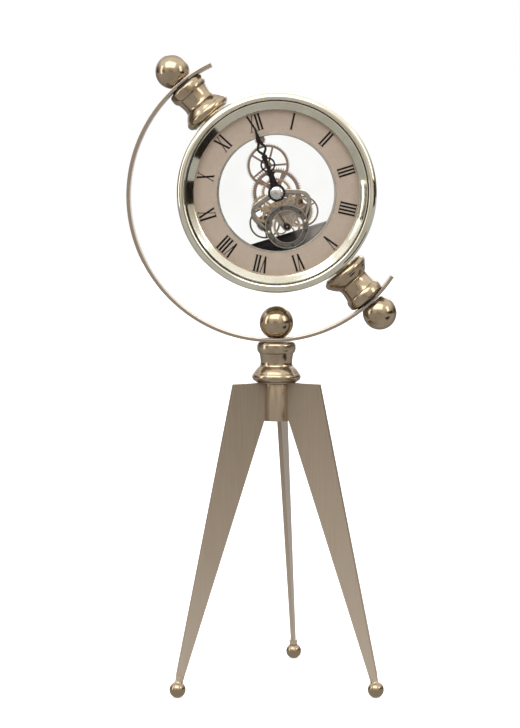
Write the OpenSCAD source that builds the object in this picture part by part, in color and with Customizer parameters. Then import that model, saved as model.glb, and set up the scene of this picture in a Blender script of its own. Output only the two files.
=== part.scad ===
// Skeleton clock on a tripod: a glazed drum with an open dial hangs by two turned posts in a
// C-shaped band, and the band stands on a turned collar over three flat legs.
// Front of the clock faces -Y. Z = 0 is the table. Millimetres.

/* [Stand] */
// Height of the dial centre above the table
dial_height = 374.4; // [360:0.2:390]
// Radius at which the foot balls stand
foot_circle = 85.2; // [80:0.2:92]
// Radius of a foot ball
foot_ball_r = 6.1; // [5:0.1:7]
// Thickness of the leg plates
leg_thickness = 3.2; // [2.5:0.1:4]
// Direction in which the rear leg points, counted from +X
rear_leg_angle = 80; // [75:1:90]
// Radius of the leg hub
hub_r = 10.6; // [9:0.1:12]
// Height of the leg hub
hub_h = 29; // [24:1:34]

/* [Band and posts] */
// Outer radius of the C-shaped band
band_r = 109.1; // [108:0.1:112]
// Thickness of the band
band_t = 2.5; // [2:0.1:3]
// Width of the band, front to back
band_w = 18; // [14:1:24]
// Start of the band, counted from +X
band_start = 115; // [112:1:118]
// End of the band
band_end = 326.5; // [322:0.5:330]
// How far the trunnion axis leans from vertical, to the left
trunnion_lean = 40.8; // [35:0.1:50]
// Distance from the trunnion axis to the band's centre
band_shift = 4; // [0:0.1:5]
// Radius of the three large balls
ball_r = 12.8; // [12:0.1:14]
// Length of a turned post and of the stand collar
post_length = 30.4; // [29:0.1:31]

/* [Drum] */
// Turn of the dial, XII to the left
dial_turn = 17.3; // [0:0.1:30]
// Outer radius of the front bezel
bezel_r = 74.3; // [74:0.1:74.6]
// Outer radius of the case
case_r = 72; // [71:0.1:72]
// Wall of the case
case_wall = 2.5; // [2:0.1:3]
// Radius of the see-through opening in the dial
dial_open_r = 43; // [42:0.1:44]

/* [Hands] */
// Minute hand's angle past XII, clockwise
minute_at = -1.6; // [-5:0.1:5]
// Hour hand's angle past XII
hour_at = -0.2; // [-5:0.1:5]
// Seconds hand's angle past 60
second_at = -15.7; // [-30:0.1:30]

/* [Hidden] */
$fn = 96;

// Fits
run = 0.05;           // radial clearance of a shaft that turns in its hole
snug = 0.02;          // radial clearance between fixed pieces
gap = 0.3;            // gap between pieces that move past each other

// ---- where the stand's axis lies: the origin is under the middle of the whole clock ----
ball_dist = 119;                              // drum centre to the centre of an upper ball
ball_flat = 9.25;                             // centre to the flat of a post ball
band_cx = -band_shift * cos(trunnion_lean);
band_dz = -band_shift * sin(trunnion_lean);
clock_left = band_cx - band_r;
clock_right = ball_dist * sin(trunnion_lean) + ball_r;
clock_front = -foot_circle / 2 - foot_ball_r;
clock_rear = foot_circle * sin(rear_leg_angle) + foot_ball_r;
stand_x = -(clock_left + clock_right) / 2;
stand_y = -(clock_front + clock_rear) / 2;

// ---- heights on the stand's axis ----
band_cz = dial_height + band_dz;
band_low = sqrt(band_r * band_r - band_cx * band_cx);          // band's drop at the axis
band_in_low = sqrt(pow(band_r - band_t, 2) - band_cx * band_cx);
collar_top = band_cz - band_low - 0.35;
hub_top = collar_top - post_length;
stand_ball_flat = 11.2;
stand_ball_z = band_cz - band_in_low + 0.55 + stand_ball_flat;
stud_r = 3;
leg_slope = 12.7;
neck_l = 10.6;
foot_z = foot_ball_r - 0.15;

// ---- distances along the trunnion axis, from the drum's centre ----
band_at = sqrt(band_r * band_r - band_shift * band_shift);
band_in_at = sqrt(pow(band_r - band_t, 2) - band_shift * band_shift);
washer_t = 1;
washer_r = 10.6;
post_end = band_in_at - 0.25 - washer_t;
post_start = post_end - post_length;
pin_r = 4;
pin_depth = 16;

// ---- depths in the drum, from front (-) to rear (+) ----
glass_y = [-18.2, -16.4];
dial_y = [-7.8, -6.8];
front_plate_y = [-6.8, -5.3];
back_plate_y = [11, 12.5];
case_y = [-11.5, 18.5];
rear_ring_y = [18.5, 20.5];
rear_glass_y = [16.7, 18.5];
motion_y = [-4.9, -4.1];        // hour wheel and the minute wheel's pinion
cannon_y = [-3.8, -3.0];        // cannon pinion and minute wheel
centre_y = [-2.6, -1.6];        // centre wheel and the third wheel's pinion
third_y = [-1.2, -0.4];         // third wheel and the seconds pinion
top_y = [-1.1, -0.2];           // top wheel and the centre wheel's pinion
train_bridge_y = [0.2, 1.4];
seconds_y = [1.9, 2.8];         // seconds wheel, side pinions, intermediate pinion
inter_y = [3.4, 4.2];           // intermediate wheel and rotor pinion
rotor_y = [4.7, 6.6];
stator_y = [5.2, 6.0];
side_y = [8.6, 9.6];            // the two thin side wheels

// ---- tooth counts and modules of the train ----
centre_teeth = 64;
third_pinion = 8;
centre_module = 0.575;
third_teeth = 60;
seconds_pinion = 8;
third_module = 0.4;
seconds_teeth = 60;
inter_pinion = 10;
side_pinion = 36;
seconds_module = 0.35;
inter_teeth = 40;
rotor_pinion = 8;
rotor_module = 0.3;
top_teeth = 80;
centre_pinion = 27;
top_module = 0.4;
top_pinion_teeth = 20;
addendum = 1.2;                // tooth heights above and below the pitch circle, in modules
dedendum = 1.5;
cannon_teeth = 16;
minute_teeth = 48;
minute_pinion = 12;
hour_teeth = 48;

// ---- arbor places in the dial plane: [right, towards XII] ----
centre_at = [0, 0];
seconds_at = [0, -26.3];
minute_dist = 14.3;
minute_dir = 218.5;
minute_place = minute_dist * [cos(minute_dir), sin(minute_dir)];
cannon_module = 2 * minute_dist / (cannon_teeth + minute_teeth);
motion_module = 2 * minute_dist / (minute_pinion + hour_teeth);
d_centre_third = (centre_teeth + third_pinion) / 2 * centre_module;
d_third_seconds = (third_teeth + seconds_pinion) / 2 * third_module;
third_place = meet(centre_at, d_centre_third, seconds_at, d_third_seconds);
d_seconds_inter = (seconds_teeth + inter_pinion) / 2 * seconds_module;
inter_place = seconds_at + [0, d_seconds_inter];
rotor_dir = 52;
rotor_place = inter_place
    + (inter_teeth + rotor_pinion) / 2 * rotor_module * [cos(rotor_dir), sin(rotor_dir)];
side_dir = 25.3;
d_side = (seconds_teeth + side_pinion) / 2 * seconds_module;
right_place = seconds_at + d_side * [cos(side_dir), sin(side_dir)];
left_place = seconds_at + d_side * [-cos(side_dir), sin(side_dir)];
top_place = [0, (top_teeth + centre_pinion) / 2 * top_module];
top_pinion_place = top_place + [0, (top_teeth + top_pinion_teeth) / 2 * top_module];

arbor_r = 0.6;
centre_arbor_r = 1.2;
hour_pipe_r = 2.4;

// ---- battery bay ----
battery_r = 7.1;
battery_l = 50.5;
bay_z = [-54.5, -37.6];
bay_mid = (bay_z[0] + bay_z[1]) / 2;
bay_half = 28.2;
bay_y = [-1.5, 16.4];
bay_wall = 1.1;
segment_z = -31;
segment_y = [-5.3, -4.5];

// ---- battery door ----
door_half = 26.8;
door_z = [-53.6, -38.4];
door_y = [18.9, 20.4];
hinge_z = -55.4;
hinge_y = 20.9;
barrel_r = 1.3;
barrel_half = 18;
hinge_pin_r = 0.6;
pin_hole_r = hinge_pin_r + snug;

// ---------------------------------------------------------------- functions
// The point at distance ra from a and rb from b, on the right of the line from a to b
function meet(a, ra, b, rb) =
    let (d = norm(b - a), u = (b - a) / d, s = (ra * ra - rb * rb + d * d) / (2 * d))
    a + s * u + sqrt(ra * ra - s * s) * [-u[1], u[0]];

function dir_of(a, b) = atan2(b[1] - a[1], b[0] - a[0]);

// Phase of a gear that meshes at direction dir with a gear of na teeth in phase pa
function mesh_phase(dir, na, pa, nb) = dir + 180 - (pa - dir) * na / nb + 180 / nb;

// Points of an arc
function arc(c, r, a, b, n) = [for (k = [0:n]) let (t = a + (b - a) * k / n) c + r * [cos(t), sin(t)]];

// Angle of the outer tangent from circle p to circle q, each [x, y, r], going anticlockwise
function tangent(p, q) =
    let (d = [q[0] - p[0], q[1] - p[1]])
    atan2(d[1], d[0]) - acos((p[2] - q[2]) / norm(d));

function up_to(a, b) = b >= a ? b : up_to(a, b + 360);
function down_to(a, b) = b - 360 > a ? down_to(a, b - 360) : b;
function next_turn(a, b) = down_to(a, up_to(a, b));

// Outline of a belt round circles [x, y, r] listed anticlockwise
function belt(cs, n) = [
    for (i = [0:len(cs) - 1])
        let (
            before = cs[(i + len(cs) - 1) % len(cs)],
            c = cs[i],
            after = cs[(i + 1) % len(cs)],
            a = tangent(before, c),
            b = next_turn(a, tangent(c, after))
        )
        each arc([c[0], c[1]], c[2], a, b, n)
];

// Outline of a gear: one trapezoid tooth after another
function gear_points(teeth, module_mm, phase) =
    let (
        pitch_r = teeth * module_mm / 2,
        tip_r = pitch_r + addendum * module_mm,
        root_r = pitch_r - dedendum * module_mm,
        step = 360 / teeth
    )
    [for (k = [0:teeth - 1], q = [[-0.27, 0], [-0.06, 1], [0.06, 1], [0.27, 0]])
        let (t = phase + (k + q[0]) * step, r = q[1] == 1 ? tip_r : root_r)
        r * [cos(t), sin(t)]];

// ---------------------------------------------------------------- placing
module on_stand() translate([stand_x, stand_y, 0]) children();

// Dial frame: x to the right, z towards XII, y to the rear
module in_drum() on_stand() translate([0, 0, dial_height]) rotate([0, -dial_turn, 0]) children();

// Local z runs outwards along the trunnion axis; upper = 1 or 0
module on_trunnion(upper)
    on_stand() translate([0, 0, dial_height]) rotate([0, upper ? -trunnion_lean : 180 - trunnion_lean, 0])
        children();

// A flat shape in the dial plane, extruded from y[0] to y[1]
module plate(y) translate([0, y[1], 0]) rotate([90, 0, 0]) linear_extrude(y[1] - y[0]) children();

// A turned shape about the drum's axis: profile points are [radius, y]
module turned(points) rotate([-90, 0, 0]) rotate_extrude() polygon(points);

module at(p) translate([p[0], 0, p[1]]) children();

// A rod along y at the origin
module rod(r, y) translate([0, y[0], 0]) rotate([-90, 0, 0]) cylinder(r = r, h = y[1] - y[0]);

module leg_frame(angle) on_stand() rotate([0, 0, angle]) children();

module gear(teeth, module_mm, phase, y) plate(y) polygon(gear_points(teeth, module_mm, phase));

// A spoked wheel: rim with teeth, straight spokes and a hub
module spoked_gear(teeth, module_mm, phase, y, rim, spokes, spoke_w, hub, spoke_at = 90) {
    root = teeth * module_mm / 2 - dedendum * module_mm;
    difference() {
        gear(teeth, module_mm, phase, y);
        rod(root - rim, [y[0] - 1, y[1] + 1]);
    }
    plate(y) {
        circle(r = hub);
        for (k = [0:spokes - 1]) rotate(spoke_at + k * 360 / spokes)
            translate([0, -spoke_w / 2]) square([root - rim / 2, spoke_w]);
    }
}

// ---------------------------------------------------------------- stand
module foot_balls() color("tan")
    for (a = [210, 330, rear_leg_angle]) leg_frame(a) difference() {
        union() {
            translate([foot_circle, 0, foot_z]) sphere(r = foot_ball_r);
            translate([foot_circle, 0, foot_z]) rotate([0, -leg_slope, 0])
                cylinder(h = neck_l, r1 = 2.6, r2 = 3.3);
        }
        translate([foot_circle, 0, -2]) cube([20, 20, 4], center = true);
    }

module leg(angle) {
    u = [-sin(leg_slope), cos(leg_slope)];
    v = [cos(leg_slope), sin(leg_slope)];
    foot = [foot_circle, foot_z] + neck_l * u;
    color("darkkhaki") leg_frame(angle) translate([0, leg_thickness / 2, 0]) rotate([90, 0, 0])
        linear_extrude(leg_thickness) polygon([
            [stud_r + 2, hub_top],
            [37.3, hub_top],
            foot + 3.1 * v,
            foot - 3.1 * v,
            [hub_r + 0.7, hub_top - hub_h],
            [stud_r + 2, hub_top - hub_h]
        ]);
}

module leg_left() leg(210);
module leg_right() leg(330);
module leg_rear() leg(rear_leg_angle);

module leg_hub() color("tan") on_stand() difference() {
    translate([0, 0, hub_top - hub_h]) cylinder(r = hub_r, h = hub_h);
    for (a = [210, 330, rear_leg_angle]) rotate([0, 0, a])
        translate([stud_r + 2 - snug, -leg_thickness / 2 - snug, hub_top - hub_h - 1])
            cube([hub_r, leg_thickness + 2 * snug, hub_h + 2]);
    translate([0, 0, hub_top - 18]) cylinder(r = stud_r + snug, h = 20);
}

// Turned post: narrow bead at height 0, waist, and the wide bead at the other end.
// Made as one lathe outline with arcs for the beads and a rounded shoulder between.
function post_profile(bore_a, depth_a, bore_b) = concat(
    [[bore_a, 0], [11.6, 0]],
    arc([12, 2.6], 2.6, -81, -5, 8),
    arc([9.6, 4.9], 5, 0, 40, 6),
    [[12.95, 8.5], [12.5, 10.5], [12.15, 13], [12, 15], [12.15, 16.8]],
    [[12.6, 17.9], [12.5, 18.15], [13.1, 18.6], [14.15, 19.6], [15.25, 20.8], [16.25, 22.1]],
    arc([14.8, 26.2], 3.6, -50, 78, 14),
    [[15.3, post_length], [bore_b, post_length], [bore_b, depth_a], [bore_a, depth_a]]
);

module stand_collar() color("tan") on_stand() translate([0, 0, collar_top]) mirror([0, 0, 1])
    rotate_extrude() polygon(post_profile(stud_r + snug, 1, stud_r + snug + 0.01));

// A post hangs from the band: its narrow bead is outside, its wide bead faces the drum.
module post(upper) color("tan") on_trunnion(upper) translate([0, 0, post_end]) mirror([0, 0, 1])
    rotate_extrude() polygon(post_profile(stud_r + snug, 12, pin_r + run));

module upper_post() post(1);
module lower_post() post(0);

module knob_ball(flat_at) difference() {
    sphere(r = ball_r);
    translate([0, 0, -ball_r - flat_at]) cube([2 * ball_r, 2 * ball_r, 2 * ball_r], center = true);
    translate([0, 0, -ball_r]) cylinder(r = stud_r + snug, h = ball_r + 1);
}

module stand_ball() color("tan") on_stand() translate([0, 0, stand_ball_z]) knob_ball(stand_ball_flat);
module upper_ball() color("tan") on_trunnion(1) translate([0, 0, ball_dist]) knob_ball(ball_flat);
module lower_ball() color("tan") on_trunnion(0) translate([0, 0, ball_dist]) knob_ball(ball_flat);

// The three studs: hub to stand ball, and one through the band into each post
module threaded_studs() color("silver") {
    on_stand() translate([0, 0, hub_top - 17]) cylinder(r = stud_r, h = stand_ball_z - hub_top + 17);
    for (u = [0, 1]) on_trunnion(u)
        translate([0, 0, post_end - 11]) cylinder(r = stud_r, h = ball_dist - post_end + 11);
}

// Pads between post and band, hollowed to the band's curve
module post_washers() color("black") for (u = [0, 1]) difference() {
    on_trunnion(u) translate([0, 0, post_end]) cylinder(r = washer_r, h = washer_t + 1);
    on_trunnion(u) translate([0, 0, post_end - 1]) cylinder(r = stud_r + snug, h = washer_t + 3);
    on_band() difference() {
        cylinder(r = band_r + 5, h = band_w);
        translate([0, 0, -1]) cylinder(r = band_r - band_t - 0.01, h = band_w + 2);
    }
}

// Local z runs along the band's axis, from its front edge
module on_band() on_stand() translate([band_cx, band_w / 2, band_cz]) rotate([90, 0, 0]) children();

// The band: a ring with its upper right part cut out, drilled for the three studs
module arc_band() color("khaki") difference() {
    on_band() difference() {
        cylinder(r = band_r, h = band_w);
        translate([0, 0, -1]) cylinder(r = band_r - band_t, h = band_w + 2);
        translate([0, 0, -1]) linear_extrude(band_w + 2)
            polygon(concat([[0, 0]], arc([0, 0], 2 * band_r, band_end, band_start + 360, 6)));
    }
    for (u = [0, 1]) on_trunnion(u) translate([0, 0, band_at - 10]) cylinder(r = stud_r + snug, h = 20);
    on_stand() translate([0, 0, collar_top - 5]) cylinder(r = stud_r + snug, h = 12);
}

// ---------------------------------------------------------------- drum shell
case_in = case_r - case_wall;

module drum_case() color("khaki") difference() {
    in_drum() turned([
        [case_r, case_y[0]], [case_r, case_y[1]], [66, case_y[1]], [66, 16.2], [case_in, 16.2],
        [case_in, -3.6], [65, -3.6], [65, front_plate_y[1]], [case_in, front_plate_y[1]],
        [case_in, case_y[0]]
    ]);
    for (u = [0, 1]) on_trunnion(u) translate([0, 0, 60]) cylinder(r = pin_r + snug, h = 20);
    in_drum() for (a = [45:90:315]) rotate([0, -a, 0]) translate([68.2, 0, 0])
        rod(1 + snug, [14, 20]);
}

// Trunnion pin: head inside the case with a flat at the front, shoulder between case and post,
// shaft in the post's bore
module trunnion_pins() color("silver") for (u = [0, 1]) on_trunnion(u) difference() {
    rotate_extrude() polygon([
        [0, 66.4], [7, 66.4], [7, case_in - 0.55], [pin_r, case_in - 0.55], [pin_r, case_r + 0.1],
        [6, case_r + 0.1], [6, post_start - 0.15], [pin_r, post_start - 0.15],
        [pin_r, post_start + pin_depth], [0, post_start + pin_depth]
    ]);
    translate([-10, -13.4, 60]) cube([20, 10, case_in - 60.5]);
}

// Bezel: convex outer ring and a skirt over the case
module front_bezel() color("beige") in_drum() turned(concat(
    [[68.2, glass_y[0] - 0.3], [68.2, -19.2]],
    arc([69.8, -19.4], 1.6, 180, 270, 8),
    arc([70.1, -16.8], 4.2, 270, 360, 16),
    [[bezel_r, -7.5], [case_r + snug, -7.5], [case_r + snug, case_y[0] - snug]],
    [[case_in, case_y[0] - snug], [69, case_y[0] - snug - 0.5], [69, glass_y[0] - 0.3]]
));

module glass_gasket() color("black") in_drum()
    turned([[67.65, glass_y[0] - 0.25], [68.9, glass_y[0] - 0.25], [68.9, glass_y[1]], [67.65, glass_y[1]]]);

module front_glass() color("white", 0.3) in_drum() rod(67.6, glass_y);

// Polished slope behind the glass, with a short wall down to the dial
module reflector_ring() color("beige") in_drum() turned([
    [66.9, glass_y[1]], [68.9, glass_y[1]], [68.9, dial_y[0]], [61.8, dial_y[0]],
    [61.6, -12], [61.9, -12.6], [64.6, -14.7]
]);

// ---------------------------------------------------------------- dial
module dial_ring() color("rosybrown") in_drum()
    turned([
        [dial_open_r + 1.6, dial_y[0]], [69.2, dial_y[0]],
        [69.2, dial_y[1]], [dial_open_r + 1.6, dial_y[1]]
    ]);

module dial_trim() color("silver") in_drum() turned([
    [dial_open_r, dial_y[0] - 0.2], [dial_open_r + 0.4, dial_y[0] - 0.5],
    [dial_open_r + 1.2, dial_y[0] - 0.5],
    [dial_open_r + 1.58, dial_y[0] - 0.2], [dial_open_r + 1.58, dial_y[1]], [dial_open_r, dial_y[1]]
]);

numeral_r = [48, 60.6];
thick = 1.45;
thin = 0.6;

// A numeral is a row of strokes: I, V (two leaning strokes) or X (two crossed strokes)
stroke_gap = 2.55;
function glyph_w(g) = g == "I" ? stroke_gap : g == "V" ? 5.2 : 5.6;
function text_w(s, i = 0) = i == len(s) ? 0 : glyph_w(s[i]) + text_w(s, i + 1);

// A stroke from the foot [x0, 0] to the head [x1, h], of width w
module stroke(x0, x1, w) {
    h = numeral_r[1] - numeral_r[0];
    polygon([[x0 - w / 2, 0], [x0 + w / 2, 0], [x1 + w / 2, h], [x1 - w / 2, h]]);
}

module serif(x, y, w) translate([x - w / 2, y]) square([w, 0.4]);

module glyph(g) {
    h = numeral_r[1] - numeral_r[0];
    w = glyph_w(g);
    if (g == "I") {
        stroke(w / 2, w / 2, thick);
        for (y = [0, h - 0.4]) serif(w / 2, y, 2.3);
    }
    if (g == "V") {
        stroke(w / 2, 0.95, thick);
        stroke(w / 2, w - 0.95, thin);
        for (x = [0.95, w - 0.95]) serif(x, h - 0.4, 1.8);
    }
    if (g == "X") {
        stroke(w - 0.95, 0.95, thick);
        stroke(0.95, w - 0.95, thin);
        for (x = [0.95, w - 0.95], y = [0, h - 0.4]) serif(x, y, 1.8);
    }
}

function glyph_start(s, i) = i == 0 ? 0 : glyph_start(s, i - 1) + glyph_w(s[i - 1]);

hours = ["I", "II", "III", "IIII", "V", "VI", "VII", "VIII", "IX", "X", "XI", "XII"];

module roman_numerals() color("black") in_drum() plate([dial_y[0] - 0.15, dial_y[0]])
    for (n = [0:11]) rotate(-30 * (n + 1)) translate([-text_w(hours[n]) / 2, numeral_r[0]])
        for (i = [0:len(hours[n]) - 1]) translate([glyph_start(hours[n], i), 0]) glyph(hours[n][i]);

// ---------------------------------------------------------------- plates
pillar_angles = [30, 150, 207, 333];
pillar_circle = 58;
pillar_r = 2;
post_r = 0.9;
bridge_posts = [[-7.2, -9.2], [9.9, -6.9]];
stator_posts = [[0, -8.4], [15.2, -4.4]];
board_posts = [[-12, -57.5], [12, -57.5]];
board_y = [4, 5];

module front_plate() color("white", 0.3) in_drum() difference() {
    plate(front_plate_y) circle(r = 69.2);
    rod(hour_pipe_r + gap, [-8, -4]);
    for (p = [seconds_at, third_place, minute_place, top_place, top_pinion_place])
        at(p) rod(arbor_r + run, [-8, -4]);
}

// Four pillars between the plates, and thin posts that carry the bridge, stator and board
module plate_pillars() color("gold") in_drum() {
    for (a = pillar_angles)
        at(pillar_circle * [cos(a), sin(a)]) rod(pillar_r, [front_plate_y[1], back_plate_y[0]]);
    for (p = bridge_posts) at(p) rod(post_r, [train_bridge_y[1], back_plate_y[0]]);
    for (p = stator_posts) at(p) rod(post_r, [stator_y[1], back_plate_y[0]]);
    for (p = board_posts) at(p) rod(post_r, [board_y[1], back_plate_y[0]]);
}

module back_plate() color("white", 0.3) in_drum() difference() {
    plate(back_plate_y) circle(r = 64.5);
    plate([back_plate_y[0] - 1, back_plate_y[1] + 1])
        translate([-bay_half - 0.1, bay_z[0] - 0.1]) square([2 * bay_half + 0.2, bay_z[1] - bay_z[0] + 0.2]);
    rod(centre_arbor_r + run, [8, 15]);
    for (p = [seconds_at, top_place, top_pinion_place, left_place, right_place, inter_place, rotor_place])
        at(p) rod(arbor_r + run, [8, 15]);
}

// ---------------------------------------------------------------- front bridge and seconds dial
bridge_y = [-8.4, -6.8];
bridge_bar = 3.2;
subdial_y = [-9.2, -8.4];
subdial_r = [11.8, 16.3];
screw_at = 14.05;

function bridge_circles(inset) = [
    [0, -5.7, 8.6 - inset],
    [-14, -11.5, 9.3 - inset],
    [0, -27.6, 14 - inset],
    [14, -11.5, 9.3 - inset]
];

module front_bridge() color("dimgray") in_drum() plate(bridge_y) difference() {
    union() {
        difference() {
            polygon(belt(bridge_circles(0), 14));
            polygon(belt(bridge_circles(bridge_bar), 14));
        }
        circle(r = 5.4);
        translate(seconds_at) difference() {
            circle(r = 15.4);
            circle(r = 12.4);
        }
    }
    circle(r = hour_pipe_r + gap);
    for (s = [-1, 1]) translate(seconds_at + [s * screw_at, 0]) circle(r = 0.7 + snug);
}

module seconds_dial() color("gray") in_drum() at(seconds_at) difference() {
    turned([
        [subdial_r[0], subdial_y[1]], [subdial_r[0], subdial_y[0] - 0.25],
        [subdial_r[0] + 0.45, subdial_y[0] - 0.25], [subdial_r[0] + 0.55, subdial_y[0]],
        [subdial_r[1] - 0.5, subdial_y[0]], [subdial_r[1] - 0.4, subdial_y[0] - 0.25],
        [subdial_r[1], subdial_y[0] - 0.25], [subdial_r[1], subdial_y[1]]
    ]);
    for (s = [-1, 1]) translate([s * screw_at, 0, 0]) rod(0.7 + snug, [-11, -7]);
}

// Sixty ticks, longer and wider every five
module seconds_marks() color("black") in_drum() at(seconds_at) plate([subdial_y[0] - 0.06, subdial_y[0]])
    for (k = [0:59]) if (k % 30 != 15) rotate(-6 * k)
        translate([k % 5 == 0 ? -0.22 : -0.1, subdial_r[1] - (k % 5 == 0 ? 2.4 : 1.6)])
            square([k % 5 == 0 ? 0.44 : 0.2, k % 5 == 0 ? 1.7 : 0.9]);

module seconds_dial_screws() color("gold") in_drum() at(seconds_at) for (s = [-1, 1])
    translate([s * screw_at, 0, 0]) {
        turned([[0, subdial_y[0] - 0.75], [0.8, subdial_y[0] - 0.65], [1.25, subdial_y[0] - 0.3],
            [1.25, subdial_y[0]], [0, subdial_y[0]]]);
        rod(0.7, [subdial_y[0], bridge_y[1]]);
    }

// ---------------------------------------------------------------- battery bay
module segment_plate() color("silver") in_drum() plate(segment_y) intersection() {
    circle(r = 64.6);
    translate([-70, -70]) square([140, 70 + segment_z]);
}

module bay_box(inset, y) translate([-bay_half + inset, y[0], bay_z[0] + inset])
    cube([2 * (bay_half - inset), y[1] - y[0], bay_z[1] - bay_z[0] - 2 * inset]);

module battery_housing() color("black") in_drum() difference() {
    bay_box(0, bay_y);
    bay_box(bay_wall, [bay_y[0] + 1.2, bay_y[1] + 1]);
}

module battery() color("darkgreen") in_drum() translate([0, bay_y[0] + 1.3 + battery_r, bay_mid])
    rotate([0, 90, 0]) translate([0, 0, -battery_l / 2]) {
        cylinder(r = battery_r, h = battery_l - 1.5);
        cylinder(r = 2.7, h = battery_l);
    }

module battery_contacts() color("silver") in_drum() for (s = [-1, 1])
    translate([s * (bay_half - bay_wall - 0.45), bay_y[0] + 1.3 + battery_r, bay_mid]) {
        cube([0.8, 9, 11], center = true);
        rotate([0, -90 * s, 0]) cylinder(r1 = 3.2, r2 = 2.2, h = 1.1);
    }

// ---------------------------------------------------------------- train bridge and motor
module train_bridge() color("dimgray") in_drum() difference() {
    plate(train_bridge_y) polygon(belt([
        [inter_place[0] - 6.5, inter_place[1] + 3.5, 3.4],
        [seconds_at[0], seconds_at[1], 3.6],
        [third_place[0], third_place[1], 3],
        [rotor_place[0] + 4.4, rotor_place[1] - 0.6, 3.4]
    ], 12));
    for (p = [third_place, seconds_at, inter_place, rotor_place]) at(p) rod(arbor_r + run, [-1, 3]);
    at(seconds_at) rod(arbor_r + gap, [-1, 3]);
}

coil_at = [15.2, -9.8];
coil_half = 4;

// The stator: a loop from the ring round the rotor to the core inside the coil
module stator() color("lightgray") in_drum() plate(stator_y) difference() {
    polygon(belt([[rotor_place[0], rotor_place[1], 5.6], [coil_at[0], coil_at[1] - 5.4, 1.2],
        [coil_at[0], coil_at[1] + 5.4, 1.2]], 10));
    translate(rotor_place) circle(r = 3.4);
    translate([rotor_place[0] + 4, coil_at[1] - coil_half - gap])
        square([coil_at[0] - rotor_place[0] - 5.1, 2 * (coil_half + gap)]);
    translate([coil_at[0] + 1, coil_at[1] - 6]) square([4, 12]);
}

module coil() color("peru") in_drum() at(coil_at) translate([0, (stator_y[0] + stator_y[1]) / 2, 0])
difference() {
    union() {
        for (s = [-1, 1]) translate([0, 0, s * (coil_half - 0.3)]) cylinder(r = 2.5, h = 0.6, center = true);
        cylinder(r = 2.1, h = 2 * coil_half, center = true);
    }
    cube([2.4, 0.9, 20], center = true);
}

module circuit_board() color("green") in_drum() {
    translate([-15, board_y[0], -62]) cube([30, board_y[1] - board_y[0], 6]);
    translate([-9, 5, -60.5]) cube([5, 1.2, 3.5]);
    translate([3, 6.3, -59]) rotate([0, 90, 0]) cylinder(r = 1.3, h = 6);
}

// ---------------------------------------------------------------- rear of the drum
window_r = 45.5;
window_z = -33.5;

module window_shape(grow) intersection() {
    circle(r = window_r + grow);
    translate([-60, window_z - grow]) square([120, 120]);
}

module rear_glass() color("white", 0.3) in_drum() plate(rear_glass_y) difference() {
    window_shape(2.5);
    circle(r = centre_arbor_r + 0.4);
}

// A rod of length l along the door's hinge, its middle at x
module hinge_rod(r, l, x) translate([x, hinge_y, hinge_z]) rotate([0, 90, 0])
    cylinder(r = r, h = l, center = true);

module rear_ring() color("khaki") in_drum() difference() {
    union() {
        plate(rear_ring_y) difference() {
            circle(r = case_r);
            window_shape(0);
            translate([-door_half - gap, door_z[0] - gap])
                square([2 * (door_half + gap), door_z[1] - door_z[0] + 2 * gap]);
            translate([-barrel_half - 0.4, hinge_z]) square([2 * barrel_half + 0.8, door_z[0] - hinge_z]);
        }
        for (s = [-1, 1]) hinge_rod(barrel_r, 4, s * (barrel_half + 2.4));
    }
    hinge_rod(barrel_r + gap, 2 * barrel_half + 0.8, 0);
    hinge_rod(pin_hole_r, 60, 0);
    for (a = [45:90:315]) rotate([0, -a, 0]) translate([68.2, 0, 0]) rod(1 + snug, [14, 24]);
}

module rear_screws() color("silver") in_drum() for (a = [45:90:315]) rotate([0, -a, 0])
    translate([68.2, 0, 0]) difference() {
        union() {
            rod(1, [16.5, rear_ring_y[1]]);
            turned([[0, rear_ring_y[1]], [1.9, rear_ring_y[1]], [1.7, 21.2], [1.1, 21.5], [0, 21.5]]);
        }
        translate([-3, 21.1, -0.25]) cube([6, 2, 0.5]);
    }

module door_hinge_pin() color("silver") in_drum() hinge_rod(hinge_pin_r, 2 * (barrel_half + 4.4), 0);

module battery_door() color("khaki") in_drum() difference() {
    union() {
        translate([-door_half, door_y[0], door_z[0]])
            cube([2 * door_half, door_y[1] - door_y[0], door_z[1] - door_z[0]]);
        translate([-8, door_y[1], door_z[1] - 2.5]) cube([16, 0.9, 1]);
        translate([-barrel_half, hinge_y - 1.3, hinge_z])
            cube([2 * barrel_half, 0.8, door_z[0] - hinge_z + 0.5]);
        hinge_rod(barrel_r, 2 * barrel_half, 0);
    }
    hinge_rod(hinge_pin_r + run, 60, 0);
}

// ---------------------------------------------------------------- minute: arbor, hand, nut and knob
minute_hand_y = [-13.4, -12.8];
hour_hand_y = [-12.1, -11.5];
second_hand_y = [-10.4, -10.0];
knob_y = [21.4, 26];
nut_r = 5;

module centre_arbor() color("silver") in_drum() {
    rod(centre_arbor_r, [minute_hand_y[1] - 1.4, knob_y[1] - 1]);
    gear(cannon_teeth, cannon_module, 0, cannon_y);
}

// A hand is drawn pointing to XII and turned to its time
module minute_hand() color("black") in_drum() rotate([0, minute_at, 0]) plate(minute_hand_y) difference() {
    union() {
        circle(r = 4.6);
        polygon([[-1.8, 3], [1.8, 3], [1, 24], [0.9, 29], [-0.9, 29], [-1, 24]]);
        translate([0, 28]) circle(r = 2.2);
        translate([0, 25]) circle(r = 1.6);
        polygon(concat([[-0.9, 29.4], [0.9, 29.4]], arc([0, 34.4], 3.7, -40, 32, 8),
            [[1.7, 39.4], [1.5, 42], [0.15, 53], [-0.15, 53], [-1.5, 42], [-1.7, 39.4]],
            arc([0, 34.4], 3.7, 148, 220, 8)));
    }
    circle(r = centre_arbor_r + snug);
    polygon(concat([[0, 31.4]], arc([0, 34.6], 2.1, -30, 30, 6), [[0, 38.2]],
        arc([0, 34.6], 2.1, 150, 210, 6)));
}

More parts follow.
